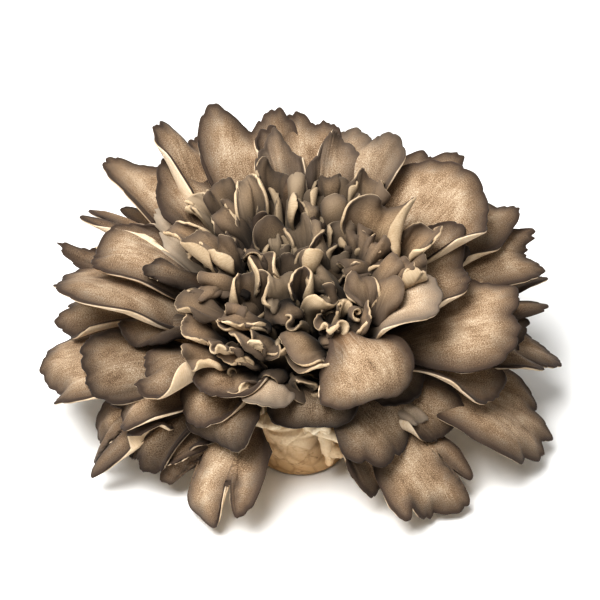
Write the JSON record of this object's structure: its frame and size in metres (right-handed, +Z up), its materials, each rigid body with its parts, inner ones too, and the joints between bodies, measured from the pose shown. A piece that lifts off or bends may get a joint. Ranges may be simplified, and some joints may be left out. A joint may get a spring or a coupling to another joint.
{
  "type": "maitake mushroom cluster",
  "caption": "Rosette of thin, overlapping grey-brown fan fronds around a crown of small curled tongues, growing from one short pale stem and standing on its cut foot.",
  "frame": {"origin": "centre of the flat cut foot of the stem", "axes": "+Z up along the stem, +Y towards the cluster's tall side, +X across its longest extent"},
  "size_m": [0.2159, 0.1483, 0.1144],
  "materials": {
    "flesh": "matt, smooth, pale cream mushroom flesh with brown marks",
    "cap": "matt, finely fibrous, grey-brown and darker towards the margin",
    "curl": "matt, pale grey-brown with cream undersides and margins"
  },
  "bodies": {
    "root": {"crown": "curl", "middle_frond_01": "cap", "middle_frond_02": "cap", "middle_frond_03": "cap", "middle_frond_04": "cap", "middle_frond_05": "cap", "middle_frond_06": "cap", "middle_frond_07": "cap", "middle_frond_08": "cap", "middle_frond_09": "cap", "middle_frond_10": "cap", "middle_frond_11": "cap", "middle_frond_12": "cap", "middle_frond_13": "cap", "middle_frond_14": "cap", "middle_frond_15": "cap", "middle_frond_16": "cap", "outer_frond_01": "cap", "outer_frond_02": "cap", "outer_frond_03": "cap", "outer_frond_04": "cap", "outer_frond_05": "cap", "outer_frond_06": "cap", "outer_frond_07": "cap", "outer_frond_08": "cap", "outer_frond_09": "cap", "outer_frond_10": "cap", "outer_frond_11": "cap", "outer_frond_12": "cap", "outer_frond_13": "cap", "outer_frond_14": "cap", "skirt_frond_01": "cap", "skirt_frond_02": "cap", "skirt_frond_03": "cap", "skirt_frond_04": "cap", "skirt_frond_05": "cap", "skirt_frond_06": "cap", "skirt_frond_07": "cap", "skirt_frond_08": "cap", "skirt_frond_09": "cap", "skirt_frond_10": "cap", "skirt_frond_11": "cap", "skirt_frond_12": "cap", "stem": "flesh", "upper_frond_01": "cap", "upper_frond_02": "cap", "upper_frond_03": "cap", "upper_frond_04": "cap", "upper_frond_05": "cap", "upper_frond_06": "cap", "upper_frond_07": "cap", "upper_frond_08": "cap", "upper_frond_09": "cap", "upper_frond_10": "cap", "upper_frond_11": "cap", "upper_frond_12": "cap"}
  },
  "joints": []
}
